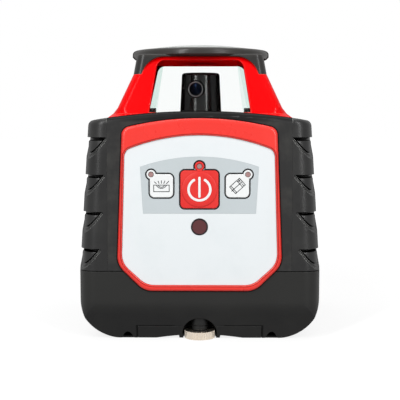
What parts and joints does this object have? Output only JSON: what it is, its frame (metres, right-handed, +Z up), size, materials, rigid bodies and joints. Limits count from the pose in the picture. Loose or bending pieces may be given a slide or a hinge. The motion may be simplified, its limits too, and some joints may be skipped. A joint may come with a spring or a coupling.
{
  "type": "rotary laser level",
  "caption": "Squat cased laser level with side grips, a front key panel, a glazed lantern over a self-levelling spinning head, a bottom battery hatch and a tripod thread.",
  "frame": {"origin": "centre of the tripod thread's mouth, level with the resting rails and on the head's axis", "axes": "+Z up along the head's axis, -Y out of the key panel, +X to the right of the key panel"},
  "size_m": [0.165, 0.153, 0.2047],
  "materials": {
    "black_shell": "fine moulded grain",
    "black_grip": "soft matte overmould",
    "black_rubber": "plain matte",
    "red_bezel": "smooth satin",
    "red_lantern": "smooth gloss",
    "red_key": "smooth satin",
    "white_panel": "fine matte",
    "white_key": "smooth satin",
    "red_lens": "clear tinted",
    "dark_lens": "dark tinted",
    "clear_glass": "polished",
    "pale_cap": "fine matte",
    "nickel": "nickel plated, knurled",
    "steel": "turned",
    "brass": "turned",
    "alloy": "machined",
    "black_alloy": "black anodised",
    "cell_can": "sleeved",
    "board_green": "solder resist",
    "black_part": "moulded"
  },
  "bodies": {
    "body": {"base_housing": "black_shell", "main_housing": "black_shell", "top_cap": "black_shell", "window_seats": "black_shell", "left_grip": "black_grip", "right_grip": "black_grip", "base_seal": "black_rubber", "front_bezel": "red_bezel", "rear_panel": "red_bezel", "lantern_frame": "red_lantern", "keypad_panel": "white_panel", "indicator_lenses": "red_lens", "receiver_window": "dark_lens", "lantern_windows": "clear_glass", "cap_plate": "pale_cap", "base_screws": "steel", "door_hinge_pins": "steel", "battery_contacts": "steel", "chassis_screws": "steel", "gimbal_outer_pins": "steel", "guide_rods": "steel", "roll_motor": "steel", "pitch_motor": "steel", "tripod_insert": "brass", "door_nut": "brass", "chassis_plate": "alloy", "battery_cells": "cell_can", "keypad_board": "board_green", "control_board": "board_green", "battery_tray": "black_part", "key_switches": "black_part"},
    "battery_door": {"battery_door": "black_shell", "door_gasket": "black_rubber"},
    "screw_carrier": {"door_screw_washer": "nickel"},
    "thumb_screw": {"door_screw": "nickel"},
    "power_key": {"power_key": "red_key"},
    "left_key": {"left_key": "white_key"},
    "right_key": {"right_key": "white_key"},
    "gimbal_ring": {"gimbal_ring": "alloy", "gimbal_inner_pins": "steel"},
    "tilt_head": {"tilt_platform": "alloy", "laser_tube": "alloy", "laser_module": "brass", "collimator_lens": "clear_glass", "level_arm": "steel", "sensor_bracket": "black_alloy", "level_vials": "clear_glass", "drive_motor": "steel", "drive_belt": "black_rubber", "spindle_bearings": "steel"},
    "rotor": {"rotor_hub": "alloy", "rotor_head": "black_alloy", "pentaprism": "clear_glass", "aperture_ring": "black_alloy", "aperture_lens": "clear_glass"},
    "motor_shaft": {"motor_pulley": "brass"},
    "roll_nut": {"roll_nut": "brass"},
    "pitch_nut": {"pitch_nut": "brass"},
    "roll_screw": {"roll_lead_screw": "steel"},
    "pitch_screw": {"pitch_lead_screw": "steel"}
  },
  "joints": [
    {"name": "door_hinge", "type": "hinge", "parent": "body", "child": "battery_door", "pos_m": [0, -0.018, 0.0025], "axis": [1, 0, 0], "range_deg": [0, 90]},
    {"name": "screw_turn", "type": "hinge", "parent": "screw_carrier", "child": "thumb_screw", "pos_m": [0, -0.0645, 0], "axis": [0, 0, -1], "range_deg": [0, 1440]},
    {"name": "screw_slide", "type": "slide", "parent": "battery_door", "child": "screw_carrier", "axis": [0, 0, -1], "range_m": [0, 0.004]},
    {"name": "power_key_press", "type": "slide", "parent": "body", "child": "power_key", "axis": [0, 1, 0], "range_m": [0, 0.001], "stiffness_N_per_m": 600},
    {"name": "left_key_press", "type": "slide", "parent": "body", "child": "left_key", "axis": [0, 1, 0], "range_m": [0, 0.001], "stiffness_N_per_m": 600},
    {"name": "right_key_press", "type": "slide", "parent": "body", "child": "right_key", "axis": [0, 1, 0], "range_m": [0, 0.001], "stiffness_N_per_m": 600},
    {"name": "pitch", "type": "hinge", "parent": "body", "child": "gimbal_ring", "pos_m": [0, 0, 0.137], "axis": [1, 0, 0], "range_deg": [-5, 5]},
    {"name": "roll", "type": "hinge", "parent": "gimbal_ring", "child": "tilt_head", "pos_m": [0, 0, 0.137], "axis": [0, 1, 0], "range_deg": [-5, 5]},
    {"name": "head_spin", "type": "hinge", "parent": "tilt_head", "child": "rotor", "pos_m": [0, 0, 0.137], "axis": [0, 0, 1], "continuous": true},
    {"name": "motor_spin", "type": "hinge", "parent": "tilt_head", "child": "motor_shaft", "pos_m": [0.0164, -0.0164, 0.137], "axis": [0, 0, 1], "continuous": true},
    {"name": "roll_nut_slide", "type": "slide", "parent": "body", "child": "roll_nut", "axis": [0, 0, 1], "range_m": [-0.004, 0.004]},
    {"name": "pitch_nut_slide", "type": "slide", "parent": "body", "child": "pitch_nut", "axis": [0, 0, 1], "range_m": [-0.004, 0.004]},
    {"name": "roll_screw_turn", "type": "hinge", "parent": "body", "child": "roll_screw", "pos_m": [-0.052, 0, 0.1], "axis": [0, 0, 1], "range_deg": [-720, 720]},
    {"name": "pitch_screw_turn", "type": "hinge", "parent": "body", "child": "pitch_screw", "pos_m": [0, 0.052, 0.1], "axis": [0, 0, 1], "range_deg": [-720, 720]}
  ],
  "couplings": [
    {"joint": "screw_slide", "follows": "screw_turn", "m_per_rad": 0.000159},
    {"joint": "motor_spin", "follows": "head_spin", "ratio": 3.4},
    {"joint": "roll_nut_slide", "follows": "roll", "m_per_rad": 0.045},
    {"joint": "pitch_nut_slide", "follows": "pitch", "m_per_rad": 0.045},
    {"joint": "roll_screw_turn", "follows": "roll", "ratio": -141.37},
    {"joint": "pitch_screw_turn", "follows": "pitch", "ratio": -141.37}
  ]
}
